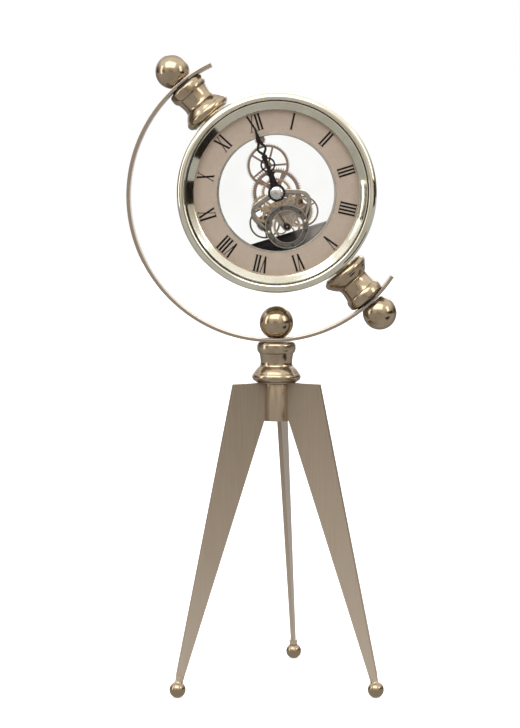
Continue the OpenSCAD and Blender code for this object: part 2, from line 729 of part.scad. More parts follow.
module hand_nut() color("silver") in_drum() difference() {
    turned(concat([[0, minute_hand_y[0]], [nut_r, minute_hand_y[0]]],
        [for (k = [0:10]) [nut_r * cos(k * 9), minute_hand_y[0] - 0.5 - 2.1 * sin(k * 9)]]));
    rod(centre_arbor_r + snug, [minute_hand_y[0] - 0.9, minute_hand_y[0] + 1]);
}

module setting_knob() color("black") in_drum() difference() {
    union() {
        rod(4.4, knob_y);
        for (k = [0:23]) rotate([0, k * 15, 0]) translate([4.4, 0, 0])
            rod(0.45, [knob_y[0] + 0.6, knob_y[1] - 0.6]);
    }
    rod(centre_arbor_r + snug, [knob_y[0] - 1, knob_y[1] - 0.9]);
}

// ---------------------------------------------------------------- hour: wheel with pipe, and hand
minute_pinion_phase = 0;
minute_phase = mesh_phase(minute_dir, cannon_teeth, 0, minute_teeth);
hour_phase = mesh_phase(minute_dir + 180, minute_pinion, minute_pinion_phase, hour_teeth);

module hour_wheel() color("goldenrod") in_drum() difference() {
    union() {
        spoked_gear(hour_teeth, motion_module, hour_phase, motion_y, 1.6, 4, 1.8, 4);
        rod(hour_pipe_r, [hour_hand_y[0] - 0.3, motion_y[1]]);
    }
    rod(centre_arbor_r + run, [-20, 0]);
}

module hour_hand() color("black") in_drum() rotate([0, hour_at, 0]) plate(hour_hand_y) difference() {
    union() {
        circle(r = 6.5);
        polygon([[-3, 5], [3, 5], [2, 13.4], [3.7, 14.9], [1.5, 16], [1.1, 18], [-1.1, 18],
            [-1.5, 16], [-3.7, 14.9], [-2, 13.4]]);
        difference() {
            translate([0, 21.8]) circle(r = 5.6);
            translate([0, 21.8]) circle(r = 4.3);
        }
        polygon([[-0.9, 17], [0.9, 17], [1.5, 19.6], [0.55, 21.8], [0.9, 24.5], [0, 26.6], [-0.9, 24.5],
            [-0.55, 21.8], [-1.5, 19.6]]);
        polygon([[-1.7, 26.9], [1.7, 26.9], [0.5, 28.4], [0.12, 30.4], [-0.12, 30.4], [-0.5, 28.4]]);
    }
    circle(r = hour_pipe_r + snug);
}

// ---------------------------------------------------------------- the other wheels
module minute_wheel() color("orange") in_drum() at(minute_place) {
    spoked_gear(minute_teeth, cannon_module, minute_phase, cannon_y, 1.6, 5, 1.5, 2.6);
    gear(minute_pinion, motion_module, minute_pinion_phase, [motion_y[0], cannon_y[0]]);
    rod(arbor_r, [front_plate_y[0] + 0.2, cannon_y[1]]);
}

third_phase = mesh_phase(dir_of(centre_at, third_place), centre_teeth, 0, third_pinion);
seconds_pinion_phase = mesh_phase(dir_of(third_place, seconds_at), third_teeth, 0, seconds_pinion);
inter_pinion_phase = mesh_phase(90, seconds_teeth, 0, inter_pinion);
rotor_phase = mesh_phase(rotor_dir, inter_teeth, 0, rotor_pinion);
right_phase = mesh_phase(side_dir, seconds_teeth, 0, side_pinion);
left_phase = mesh_phase(180 - side_dir, seconds_teeth, 0, side_pinion);
centre_pinion_phase = 0;
top_phase = mesh_phase(90, centre_pinion, centre_pinion_phase, top_teeth);
top_pinion_phase = mesh_phase(90, top_teeth, top_phase, top_pinion_teeth);

module centre_wheel() color("rosybrown") in_drum() difference() {
    union() {
        spoked_gear(centre_teeth, centre_module, 0, centre_y, 2.4, 5, 2.6, 6.2, 54);
        gear(centre_pinion, top_module, centre_pinion_phase, [centre_y[1], top_y[1]]);
    }
    rod(centre_arbor_r + run, [-20, 20]);
}

module third_wheel() color("gold") in_drum() at(third_place) {
    spoked_gear(third_teeth, third_module, 0, third_y, 1.5, 5, 1.3, 2.6);
    gear(third_pinion, centre_module, third_phase, [centre_y[0] - 0.1, third_y[0]]);
    rod(arbor_r, [front_plate_y[0] + 0.2, train_bridge_y[1]]);
}

// Curved-spoke seconds wheel on the long seconds arbor
module seconds_wheel() color("goldenrod") in_drum() at(seconds_at) {
    difference() {
        gear(seconds_teeth, seconds_module, 0, seconds_y);
        rod(8.4, [seconds_y[0] - 1, seconds_y[1] + 1]);
    }
    plate(seconds_y) {
        circle(r = 2.4);
        for (k = [0:3]) rotate(90 * k) difference() {
            translate([4.7, 0]) circle(r = 4.7);
            translate([4.7, 0]) circle(r = 3.6);
            translate([-5, -10]) square([20, 10]);
        }
    }
    gear(seconds_pinion, third_module, seconds_pinion_phase, [third_y[0] - 0.1, third_y[1] + 0.1]);
    rod(arbor_r, [second_hand_y[0] - 0.6, back_plate_y[1]]);
}

module seconds_hand() color("black") in_drum() at(seconds_at) rotate([0, second_at, 0]) difference() {
    union() {
        plate(second_hand_y) polygon([[-0.4, 0], [0.4, 0], [0.22, 12.2], [-0.22, 12.2]]);
        turned([[0, -10.7], [2.1, -10.7], [2.5, -10.4], [2.5, -9.9], [0, -9.9]]);
    }
    rod(arbor_r + snug, [-20, 0]);
}

module intermediate_wheel() color("white") in_drum() at(inter_place) {
    spoked_gear(inter_teeth, rotor_module, 0, inter_y, 1, 4, 1, 1.8);
    gear(inter_pinion, seconds_module, inter_pinion_phase, [seconds_y[0] - 0.1, inter_y[0]]);
    rod(arbor_r, [train_bridge_y[0], back_plate_y[1]]);
}

module rotor() color("dimgray") in_drum() at(rotor_place) {
    gear(rotor_pinion, rotor_module, rotor_phase, [inter_y[0] - 0.1, rotor_y[0]]);
    rod(3, rotor_y);
    rod(arbor_r, [train_bridge_y[0], back_plate_y[1]]);
}

module top_wheel() color("rosybrown") in_drum() at(top_place) {
    spoked_gear(top_teeth, top_module, top_phase, top_y, 1.7, 5, 1.5, 2.8, 58.7);
    rod(arbor_r, [front_plate_y[0] + 0.2, back_plate_y[1]]);
}

module top_pinion() color("dimgray") in_drum() at(top_pinion_place) {
    gear(top_pinion_teeth, top_module, top_pinion_phase, top_y);
    rod(arbor_r, [front_plate_y[0] + 0.2, back_plate_y[1]]);
}

// A thin smooth rim with straight spokes, and the pinion that turns it
module side_wheel(place, phase) in_drum() at(place) {
    plate(side_y) {
        difference() {
            circle(r = 11.6);
            circle(r = 10.3);
        }
        circle(r = 1.8);
        for (k = [0:2]) rotate(20 + 120 * k) translate([0, -0.55]) square([11, 1.1]);
    }
    gear(side_pinion, seconds_module, phase, seconds_y);
    rod(arbor_r, [seconds_y[0] - 0.2, back_plate_y[1]]);
}

module left_wheel() color("dimgray") side_wheel(left_place, left_phase);
module right_wheel() color("rosybrown") side_wheel(right_place, right_phase);

// ---------------------------------------------------------------- one line per node
foot_balls();
leg_left();
leg_right();
leg_rear();
leg_hub();
threaded_studs();
stand_collar();
stand_ball();
arc_band();
upper_ball();
lower_ball();
post_washers();
upper_post();
lower_post();
drum_case();
trunnion_pins();
front_bezel();
glass_gasket();
front_glass();
reflector_ring();
dial_ring();
roman_numerals();
dial_trim();
front_plate();
plate_pillars();
back_plate();
front_bridge();
seconds_dial();
seconds_marks();
seconds_dial_screws();
segment_plate();
battery_housing();
battery();
battery_contacts();
train_bridge();
stator();
coil();
circuit_board();
rear_glass();
rear_ring();
rear_screws();
door_hinge_pin();
battery_door();
centre_arbor();
minute_hand();
hand_nut();
setting_knob();
hour_wheel();
hour_hand();
minute_wheel();
centre_wheel();
third_wheel();
seconds_wheel();
seconds_hand();
intermediate_wheel();
rotor();
top_wheel();
top_pinion();
left_wheel();
right_wheel();
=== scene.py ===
"""Looks of the skeleton clock: finishes, fine turned parts, small detail, light and camera."""

import math

import bmesh
import bpy
from mathutils import Matrix, Vector


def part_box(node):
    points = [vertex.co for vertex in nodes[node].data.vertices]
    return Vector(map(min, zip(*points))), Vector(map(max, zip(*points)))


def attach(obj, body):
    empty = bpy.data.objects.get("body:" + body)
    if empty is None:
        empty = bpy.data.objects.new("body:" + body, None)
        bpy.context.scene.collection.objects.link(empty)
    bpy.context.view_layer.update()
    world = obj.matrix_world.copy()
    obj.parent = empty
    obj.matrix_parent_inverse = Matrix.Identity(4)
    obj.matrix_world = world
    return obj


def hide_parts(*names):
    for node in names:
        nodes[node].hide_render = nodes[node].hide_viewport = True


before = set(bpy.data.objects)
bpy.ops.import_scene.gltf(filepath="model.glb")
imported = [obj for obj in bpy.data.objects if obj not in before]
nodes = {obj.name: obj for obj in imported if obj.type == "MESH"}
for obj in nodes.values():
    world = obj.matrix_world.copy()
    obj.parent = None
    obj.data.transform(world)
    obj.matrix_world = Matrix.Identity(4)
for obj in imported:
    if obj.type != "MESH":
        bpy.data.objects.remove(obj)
for name in ("Cube", "Light", "Camera"):
    if name in bpy.data.objects:
        bpy.data.objects.remove(bpy.data.objects[name])
bpy.context.view_layer.update()
scene = bpy.context.scene

MM = 0.001
HERE = Matrix.Identity(4)

# ---------------------------------------------------------------- places and sizes, in millimetres
STAND = Vector((10.785, -20.653, 0))
DIAL_CENTRE = Vector((10.785, -20.653, 374.4))
DIAL_TURN = 17.3
TRUNNION_LEAN = 40.8
BAND_CENTRE = Vector((7.757, -20.653, 371.786))
POST_END = 105.275
POST_LENGTH = 30.4
BALL_R = 12.8
BALL_DIST = 119
BALL_FLAT = 9.25
STAND_BALL_FLAT = 11.2
STUD_R = 3.02
PIN_R = 4.05
SECONDS_X = 0
SECONDS_Z = -26.3
SECONDS_FACE = -9.24
BEZEL_R = 74.3
BEZEL_BACK = -7.5
NUT_R = 5
NUT_BACK = -13.4
NUT_WALL = 0.5
NUT_DOME = 2.1
GLASS_FRONT = -18.2
GLASS_BACK = -16.4
GASKET_GAP = 0.3
FOOT_NECK = (11.6, 12.4)

# the camera, from the stand's axis
LENS = 98.555
CAMERA_RIGHT = -12.4
CAMERA_AWAY = 1500
CAMERA_HEIGHT = 375
CAMERA_DOWN = 4.93


def about_y(degrees):
    return Matrix.Rotation(math.radians(degrees), 4, "Y")


def moved(x, y, z):
    return Matrix.Translation(Vector((x, y, z)) * MM)


DIAL_FRAME = moved(*DIAL_CENTRE) @ about_y(-DIAL_TURN)
SECONDS_FRAME = DIAL_FRAME @ moved(SECONDS_X, 0, SECONDS_Z)
TURNED = Matrix.Rotation(math.radians(-90), 4, "X")
FLIP = Matrix.Rotation(math.pi, 4, "X")


def trunnion(side, along):
    """The axis of the upper or lower post, so far from the drum's centre."""
    turn = -TRUNNION_LEAN if side == "upper" else 180 - TRUNNION_LEAN
    return moved(*DIAL_CENTRE) @ about_y(turn) @ moved(0, 0, along)


# ---------------------------------------------------------------- meshes
SHARP_ANGLE = math.radians(32)


def piece(name, mesh, matrix, material, body, replaced=()):
    obj = bpy.data.objects.new(name, mesh)
    scene.collection.objects.link(obj)
    mesh.transform(matrix)
    mesh.materials.append(material)
    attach(obj, body)
    if replaced:
        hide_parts(*replaced)
    return obj


def arc(cx, cy, r, start, end, steps):
    out = []
    for k in range(steps + 1):
        t = math.radians(start + (end - start) * k / steps)
        out.append((cx + r * math.cos(t), cy + r * math.sin(t)))
    return out


def spline(points, steps):
    """A smooth curve through the points, with steps pieces between each two."""
    out = []
    count = len(points)
    for i in range(count - 1):
        a = points[max(i - 1, 0)]
        b = points[i]
        c = points[i + 1]
        d = points[min(i + 2, count - 1)]
        for k in range(steps):
            t = k / steps
            out.append(tuple(
                0.5 * (2 * q + (r - p) * t + (2 * p - 5 * q + 4 * r - s) * t * t
                       + (3 * q - p - 3 * r + s) * t ** 3)
                for p, q, r, s in zip(a, b, c, d)
            ))
    out.append(points[-1])
    return out


def lathe(name, outline, steps=160):
    """A closed mesh turned about local Z from a closed outline of [radius, height] in mm."""
    bm = bmesh.new()
    rings = []
    for radius, height in outline:
        if radius < 1e-6:
            rings.append([bm.verts.new((0, 0, height * MM))])
            continue
        ring = []
        for k in range(steps):
            t = 2 * math.pi * k / steps
            point = Vector((radius * math.cos(t), radius * math.sin(t), height))
            ring.append(bm.verts.new(point * MM))
        rings.append(ring)
    for i, lower in enumerate(rings):
        upper = rings[(i + 1) % len(rings)]
        if len(lower) == 1 and len(upper) == 1:
            continue
        for k in range(steps):
            n = (k + 1) % steps
            corners = [lower[k % len(lower)], lower[n % len(lower)],
                       upper[n % len(upper)], upper[k % len(upper)]]
            corners = [v for j, v in enumerate(corners) if v not in corners[:j]]
            bm.faces.new(corners)
    bmesh.ops.recalc_face_normals(bm, faces=bm.faces)
    mesh = bpy.data.meshes.new(name)
    bm.to_mesh(mesh)
    bm.free()
    mesh.shade_smooth()
    mesh.set_sharp_from_angle(angle=SHARP_ANGLE)
    return mesh


# ---------------------------------------------------------------- node helpers
def add(tree, kind, sockets=None, **settings):
    node = tree.nodes.new("ShaderNode" + kind)
    for key, value in settings.items():
        setattr(node, key, value)
    for key, value in (sockets or {}).items():
        if isinstance(value, bpy.types.NodeSocket):
            tree.links.new(value, node.inputs[key])
        else:
            node.inputs[key].default_value = value
    return node


def colour(rgb):
    """sRGB 0 to 255 as linear RGBA."""
    out = []
    for c in rgb:
        c /= 255
        out.append(c / 12.92 if c <= 0.04045 else ((c + 0.055) / 1.055) ** 2.4)
    return (*out, 1)


def ramp(tree, factor, stops):
    node = add(tree, "ValToRGB", {"Fac": factor})
    cells = node.color_ramp.elements
    while len(cells) < len(stops):
        cells.new(0.5)
    for cell, (place, rgb) in zip(cells, stops):
        cell.position = place
        cell.color = colour(rgb)
    return node.outputs["Color"]


def spread(tree, value, low, high, start=0.0, end=1.0):
    """The value, from start to end, as one from low to high."""
    node = add(tree, "MapRange", {"Value": value, "From Min": start, "From Max": end,
                                  "To Min": low, "To Max": high})
    return node.outputs["Result"]


def maths(tree, operation, first, *second):
    sockets = dict(enumerate((first, *second)))
    return add(tree, "Math", sockets, operation=operation).outputs[0]


def axis_of(tree, vector, axis):
    return add(tree, "SeparateXYZ", {"Vector": vector}).outputs[axis]


def mixed(tree, factor, a, b):
    node = add(tree, "Mix", {"Factor": factor, "A": a, "B": b}, data_type="FLOAT")
    return node.outputs["Result"]


def mixed_colour(tree, factor, a, b):
    node = add(tree, "Mix", {"Factor": factor, "A": a, "B": b}, data_type="RGBA")
    return node.outputs["Result"]


def local_mm(tree, place):
    """Object coordinates as millimetres in the frame of a 4x4 place."""
    coords = add(tree, "TexCoord").outputs["Object"]
    loc, rot, _ = place.decompose()
    node = add(tree, "Mapping", {"Vector": coords, "Location": loc, "Rotation": rot.to_euler(),
                                 "Scale": (MM, MM, MM)}, vector_type="TEXTURE")
    return node.outputs["Vector"]


def stretched(tree, vector, scale, detail=3.0, rough=0.6):
    """Noise whose grain is 1/scale mm along each axis."""
    mapped = add(tree, "Mapping", {"Vector": vector, "Scale": scale}).outputs["Vector"]
    noise = add(tree, "TexNoise", {"Vector": mapped, "Scale": 1.0, "Detail": detail,
                                   "Roughness": rough})
    return noise.outputs["Fac"]


def around_y(tree, vector):
    """Vector of radius, depth and a slow turn about local Y: noise on it runs in circles."""
    split = add(tree, "SeparateXYZ", {"Vector": vector}).outputs
    xx = maths(tree, "MULTIPLY", split["X"], split["X"])
    zz = maths(tree, "MULTIPLY", split["Z"], split["Z"])
    radius = maths(tree, "SQRT", maths(tree, "ADD", xx, zz))
    turn = maths(tree, "ARCTAN2", split["Z"], split["X"])
    slow = maths(tree, "MULTIPLY", turn, 2.0)
    return add(tree, "CombineXYZ", {"X": radius, "Y": split["Y"], "Z": slow}).outputs["Vector"]


# grain of the buffing marks on polished metal, per mm along each axis, and their relief in mm
BUFFING = (2.5, 2.5, 0.35)
POLISH_BUMP = 0.004


def new_material(name):
    mat = bpy.data.materials.new(name)
    mat.use_nodes = True
    tree = mat.node_tree
    tree.nodes.clear()
    return mat, tree


def finish_surface(tree, base, rough, height, bump, sockets):
    """Principled shader and output; bump is the relief in mm."""
    normal = add(tree, "Bump", {"Height": height, "Distance": bump * MM, "Strength": 1.0})
    values = {"Base Color": base, "Roughness": rough, "Normal": normal.outputs["Normal"]}
    values.update(sockets)
    shader = add(tree, "BsdfPrincipled", values)
    add(tree, "OutputMaterial", {"Surface": shader.outputs["BSDF"]})


def polished(name, dark, light, rough, patch=0.09, edge=None):
    """Mirror metal with faint clouds and hairline buffing marks; edge is the colour of a painted dark
    reflection mixed in at a slant.
    """
    mat, tree = new_material(name)
    mm = local_mm(tree, HERE)
    clouds = stretched(tree, mm, (patch, patch, patch), detail=4.0)
    hair = stretched(tree, mm, BUFFING, detail=2.0)
    base = ramp(tree, clouds, [(0.3, dark), (0.7, light)])
    if edge:
        # painted reflection: at a slant the colour turns towards the edge colour, standing in for dark
        # surroundings mirrored at the rims
        facing = add(tree, "LayerWeight", {"Blend": 0.5}).outputs["Facing"]
        share = spread(tree, facing, 0.0, 0.9, 0.4, 0.85)
        base = mixed_colour(tree, share, base, colour(edge))
    finish_surface(tree, base, spread(tree, hair, *rough, 0.3, 0.7), hair, POLISH_BUMP,
                   {"Metallic": 1.0})
    return mat


def brushed(name, dark, light, scale, rough, place=HERE, bump=0.012, ring=False, metal=1.0):
    """Satin metal: long scratches along the least scaled axis, or in circles with ring."""
    mat, tree = new_material(name)
    mm = local_mm(tree, place)
    if ring:
        mm = around_y(tree, mm)
    fine = stretched(tree, mm, scale, detail=4.0, rough=0.7)
    broad = stretched(tree, mm, tuple(s * 0.12 for s in scale), detail=2.0)
    base = ramp(tree, mixed(tree, 0.25, fine, broad), [(0.3, dark), (0.7, light)])
    finish_surface(tree, base, spread(tree, fine, *rough, 0.3, 0.7), fine, bump, {"Metallic": metal})
    return mat


def plain(name, dark, light, grain, rough, bump=0.01, metal=0.0, **sockets):
    """Moulded or painted surface with a fine grain."""
    mat, tree = new_material(name)
    mm = local_mm(tree, HERE)
    fine = stretched(tree, mm, (grain, grain, grain), detail=5.0)
    base = ramp(tree, fine, [(0.35, dark), (0.65, light)])
    values = {"Metallic": metal}
    values.update({key.replace("_", " "): value for key, value in sockets.items()})
    finish_surface(tree, base, spread(tree, fine, *rough, 0.3, 0.7), fine, bump, values)
    return mat


def see_through(name, tint, share):
    """A clear pane: what is behind shows, with a share of Fresnel gloss and a trace of dust."""
    mat, tree = new_material(name)
    dust = stretched(tree, local_mm(tree, HERE), (0.06, 0.06, 0.06), detail=5.0)
    shine = maths(tree, "MULTIPLY", add(tree, "Fresnel", {"IOR": 1.45}).outputs["Fac"], share)
    low = ramp(tree, dust, [(0.3, tint), (0.7, (255, 255, 255))])
    clear = add(tree, "BsdfTransparent", {"Color": low})
    gloss = add(tree, "BsdfGlossy", {"Roughness": 0.02, "Color": (1, 1, 1, 1)})
    mix = add(tree, "MixShader", {"Fac": shine, 1: clear.outputs[0], 2: gloss.outputs[0]})
    add(tree, "OutputMaterial", {"Surface": mix.outputs[0]})
    return mat


# ---------------------------------------------------------------- finishes
# edge gives the champagne parts a painted dark reflection at their rims
champagne = polished("champagne_polished", (166, 147, 121), (192, 174, 148), rough=(0.13, 0.2),
                     edge=(62, 44, 27))
pale_gold = polished("pale_gold_polished", (222, 216, 195), (240, 236, 219), rough=(0.05, 0.1),
                     patch=0.05)
chrome = polished("chrome", (205, 205, 205), (235, 235, 232), rough=(0.05, 0.1), patch=0.2)
steel = polished("turned_steel", (150, 148, 145), (190, 188, 184), rough=(0.18, 0.3), patch=0.3)
bridge_steel = polished("bridge_steel", (172, 166, 160), (202, 197, 190), rough=(0.1, 0.18), patch=0.3)
magnet = polished("magnet", (70, 68, 66), (100, 98, 95), rough=(0.25, 0.4), patch=0.5)

hub_satin = brushed("hub_satin", (172, 154, 130), (194, 176, 152), (2.6, 2.6, 0.03),
                    rough=(0.18, 0.28), metal=0.8)
band_satin = brushed("band_satin", (172, 158, 142), (190, 176, 160), (3.0, 1.2, 0.8),
                     rough=(0.26, 0.34), place=moved(*BAND_CENTRE), bump=0.006, ring=True)
case_satin = brushed("case_satin", (184, 173, 150), (193, 183, 160), (4.0, 2.4, 0.6),
                     rough=(0.2, 0.28), place=DIAL_FRAME, bump=0.003, ring=True)
silver_trim = brushed("silver_trim", (200, 200, 198), (235, 234, 230), (6, 6, 0.5),
                      rough=(0.12, 0.2), place=DIAL_FRAME, ring=True)
gunmetal = brushed("gunmetal", (112, 108, 104), (142, 138, 132), (3, 3, 0.4),
                   rough=(0.2, 0.3), place=SECONDS_FRAME, ring=True)


def gear_finish(name, dark, light):
    return brushed(name, dark, light, (5.0, 1.0, 0.4), rough=(0.2, 0.3), bump=0.003)


gear_gold = gear_finish("gear_gold", (204, 180, 150), (224, 203, 174))
gear_cream = gear_finish("gear_cream", (206, 191, 164), (226, 212, 187))
gear_rose = gear_finish("gear_rose", (168, 146, 134), (186, 166, 154))
gear_grey = gear_finish("gear_grey", (116, 104, 98), (134, 123, 116))

rubber = plain("black_rubber", (10, 10, 10), (24, 23, 22), grain=2.0, rough=(0.5, 0.7), bump=0.02)
ink = plain("numeral_ink", (8, 6, 6), (20, 15, 15), grain=3.0, rough=(0.4, 0.55), bump=0.004,
            Specular_IOR_Level=0.2)
hand_black = plain("hand_black", (12, 8, 8), (34, 23, 21), grain=1.2, rough=(0.2, 0.32), bump=0.004,
                   metal=0.5)
housing_black = plain("housing_black", (22, 22, 23), (36, 36, 37), grain=1.2, rough=(0.45, 0.6),
                      bump=0.02)
white_plastic = plain("white_plastic", (222, 218, 208), (240, 238, 230), grain=0.8,
                      rough=(0.3, 0.42))
board_green = plain("board_green", (18, 70, 42), (34, 104, 62), grain=0.5, rough=(0.3, 0.45))
glass = see_through("clear_glass", (254, 254, 253), 0.12)
acrylic = see_through("clear_acrylic", (254, 254, 254), 0.01)


def leg_finish():
    """Satin plate brushed along its length, with painted shade that makes it darker towards the top
    and paler towards the foot.
    """
    mat, tree = new_material("leg_satin")
    mm = local_mm(tree, HERE)
    fine = stretched(tree, mm, (3.2, 3.2, 0.03), detail=4.0, rough=0.7)
    # painted shade: the colour runs from darker at the top to paler at the foot
    painted_height_shade = spread(tree, axis_of(tree, mm, "Z"), 0.3, -0.3, 20.0, 235.0)
    shade = maths(tree, "ADD", spread(tree, fine, 0.42, 0.58, 0.3, 0.7), painted_height_shade)
    base = ramp(tree, shade, [(0.15, (150, 134, 116)), (0.5, (186, 169, 149)),
                              (0.9, (214, 198, 178))])
    finish_surface(tree, base, spread(tree, fine, 0.3, 0.4, 0.3, 0.7), fine, 0.01, {"Metallic": 0.7})
    return mat


def foot_finish():
    """Polished ball with a brushed neck above it."""
    mat, tree = new_material("foot_polished")
    mm = local_mm(tree, HERE)
    hair = stretched(tree, mm, BUFFING, detail=2.0)
    neck = spread(tree, axis_of(tree, mm, "Z"), 0.0, 1.0, *FOOT_NECK)
    tone = maths(tree, "ADD", neck, spread(tree, hair, -0.12, 0.12))
    base = ramp(tree, tone, [(0.0, (170, 152, 126)), (0.3, (188, 170, 144)),
                             (1.0, (206, 190, 170))])
    finish_surface(tree, base, spread(tree, neck, 0.14, 0.36), hair, POLISH_BUMP,
                   {"Metallic": spread(tree, neck, 1.0, 0.7)})
    return mat


def dial_finish():
    """Rose-beige satin with fine crossed brushing, and a painted shadow of the bezel that makes it a
    little darker towards the rim.
    """
    mat, tree = new_material("dial_satin")
    mm = local_mm(tree, DIAL_FRAME)
    across = stretched(tree, mm, (0.12, 1, 5.5), detail=3.0)
    along = stretched(tree, mm, (5.5, 1, 0.12), detail=3.0)
    weave = mixed(tree, 0.5, across, along)
    # painted shadow of the bezel: darker from 56 mm out to the rim
    rim = spread(tree, axis_of(tree, around_y(tree, mm), "X"), 0.0, 0.35, 56.0, 69.0)
    base = ramp(tree, maths(tree, "SUBTRACT", weave, rim),
                [(0.1, (164, 146, 132)), (0.45, (198, 180, 165)), (0.62, (210, 195, 180))])
    finish_surface(tree, base, spread(tree, weave, 0.34, 0.46, 0.35, 0.65), weave, 0.008,
                   {"Metallic": 0.6})
    return mat


def segment_finish():
    """Mirror plate behind the dial with a painted reflection that runs from black on the left to
    silver on the right, and a soft grain.
    """
    mat, tree = new_material("segment_mirror")
    mm = local_mm(tree, DIAL_FRAME)
    grain = stretched(tree, mm, (1.2, 1.2, 0.15), detail=3.0)
    # painted reflection: a sweep from black to silver across the plate
    place = spread(tree, axis_of(tree, mm, "X"), 0.0, 1.0, -30.0, 34.0)
    painted_reflection_sweep = maths(tree, "ADD", place, spread(tree, grain, -0.03, 0.03))
    base = ramp(tree, painted_reflection_sweep, [(0.4, (8, 7, 7)), (0.52, (52, 48, 46)), (0.6, (160, 152, 146)),
                                (0.8, (216, 208, 202))])
    finish_surface(tree, base, spread(tree, grain, 0.3, 0.4), grain, 0.003, {"Metallic": 0.3})
    return mat


def coil_finish():
    """Enamelled wire, wound along the coil's length."""
    mat, tree = new_material("coil_wire")
    mm = local_mm(tree, DIAL_FRAME)
    wave = add(tree, "TexWave", {"Vector": mm, "Scale": 0.9, "Distortion": 0.6, "Detail": 1.0},
               wave_type="BANDS", bands_direction="Z")
    turns = wave.outputs["Fac"]
    base = ramp(tree, turns, [(0.0, (40, 26, 18)), (0.6, (120, 76, 44)), (1.0, (190, 140, 96))])
    finish_surface(tree, base, spread(tree, turns, 0.25, 0.45), turns, 0.08, {"Metallic": 0.8})
    return mat


def wrap_finish():
    """Battery sleeve: dark body with a paler band at one end."""
    mat, tree = new_material("battery_wrap")
    mm = local_mm(tree, DIAL_FRAME)
    grain = stretched(tree, mm, (0.6, 2.0, 2.0), detail=3.0)
    place = spread(tree, axis_of(tree, mm, "X"), 0.0, 1.0, -26.0, 26.0)
    base = ramp(tree, place, [(0.0, (34, 38, 36)), (0.66, (40, 46, 44)), (0.68, (176, 132, 74)),
                              (0.96, (190, 146, 86)), (0.98, (200, 200, 198))])
    finish_surface(tree, base, spread(tree, grain, 0.25, 0.4), grain, 0.01, {"Metallic": 0.3})
    return mat


leg_satin = leg_finish()
foot_polished = foot_finish()
dial_satin = dial_finish()
segment_mirror = segment_finish()
coil_wire = coil_finish()
battery_wrap = wrap_finish()

FINISHES = {
    "foot_balls": foot_polished, "leg_left": leg_satin, "leg_right": leg_satin, "leg_rear": leg_satin,
    "leg_hub": hub_satin, "threaded_studs": steel, "arc_band": band_satin, "post_washers": rubber,
    "drum_case": case_satin, "trunnion_pins": steel, "glass_gasket": rubber,
    "front_glass": glass, "dial_ring": dial_satin, "roman_numerals": ink, "dial_trim": silver_trim,
    "front_plate": acrylic, "plate_pillars": gear_gold, "back_plate": acrylic,
    "front_bridge": bridge_steel, "seconds_dial": gunmetal, "seconds_marks": ink,
    "seconds_dial_screws": gear_cream, "segment_plate": segment_mirror,
    "battery_housing": housing_black, "battery": battery_wrap, "battery_contacts": steel,
    "train_bridge": bridge_steel, "stator": steel, "coil": coil_wire, "circuit_board": board_green,
    "rear_glass": glass, "rear_ring": case_satin, "rear_screws": steel, "door_hinge_pin": steel,
    "battery_door": case_satin, "centre_arbor": steel, "minute_hand": hand_black,
    "setting_knob": housing_black, "hour_wheel": gear_gold, "hour_hand": hand_black,
    "minute_wheel": gear_gold, "centre_wheel": gear_rose, "third_wheel": gear_cream,
    "seconds_wheel": gear_gold, "seconds_hand": hand_black, "intermediate_wheel": white_plastic,
    "rotor": magnet, "top_wheel": gear_rose, "top_pinion": gear_rose, "left_wheel": gear_grey,
    "right_wheel": gear_rose,
}

# width of a node's softened edges in mm
EDGES = {
    "leg_left": 0.35, "leg_right": 0.35, "leg_rear": 0.35, "leg_hub": 0.3, "arc_band": 0.3,
    "rear_ring": 0.25, "battery_door": 0.25, "dial_ring": 0.1, "front_bridge": 0.45,
    "minute_hand": 0.12, "hour_hand": 0.12, "centre_wheel": 0.08, "top_wheel": 0.08,
    "seconds_wheel": 0.08, "third_wheel": 0.06, "left_wheel": 0.08, "right_wheel": 0.08,
    "minute_wheel": 0.06, "hour_wheel": 0.06, "train_bridge": 0.12, "battery_housing": 0.25,
    "drum_case": 0.2, "setting_knob": 0.2, "seconds_dial": 0.06,
}


def dress(node_name, material):
    """Finish of a CAD node, with its edges softened where EDGES names it."""
    obj = nodes[node_name]
    obj.data.materials.clear()
    obj.data.materials.append(material)
    weld = obj.modifiers.new("weld", "WELD")
    weld.merge_threshold = 1e-6
    if node_name in EDGES:
        bevel = obj.modifiers.new("edge", "BEVEL")
        bevel.width = EDGES[node_name] * MM
        bevel.segments = 2
        bevel.limit_method = "ANGLE"
        bevel.angle_limit = math.radians(40)


for node_name, material in FINISHES.items():
    dress(node_name, material)


# ---------------------------------------------------------------- turned parts
# outlines are lists of [radius, height along the turning axis] in mm
def post_outline(bore_narrow, bore_wide, step):
    """A post from its narrow end, with a stepped bore, as the two posts and the collar have."""
    waist = [(12.95, 8.5), (12.5, 10.5), (12.15, 13), (12, 15), (12.15, 16.8), (12.6, 17.9)]
    shoulder = [(13.1, 18.6), (14.15, 19.6), (15.25, 20.8), (16.25, 22.1), (17.11, 23.44)]
    return (
        [(bore_narrow, 0), (11.6, 0)]
        + arc(12, 2.6, 2.6, -81, -5, 20)
        + arc(9.6, 4.9, 5, 0, 40, 14)
        + spline(waist, 5)
        + [(12.5, 18.15)]
        + spline(shoulder, 5)[:-1]
        + arc(14.8, 26.2, 3.6, -50, 78, 30)
        + [(15.3, POST_LENGTH), (bore_wide, POST_LENGTH), (bore_wide, step), (bore_narrow, step)]
    )


def ball_outline(flat):
    """A ball cut flat underneath, with the stud's blind hole."""
    edge = math.degrees(math.asin(flat / BALL_R))
    outline = arc(0, 0, BALL_R, 90, -edge + 1, 72)
    outline[0] = (0, BALL_R)
    rim = math.sqrt(BALL_R ** 2 - flat ** 2)
    return outline + [(rim - 0.12, -flat), (STUD_R, -flat), (STUD_R, -1), (0, -1)]


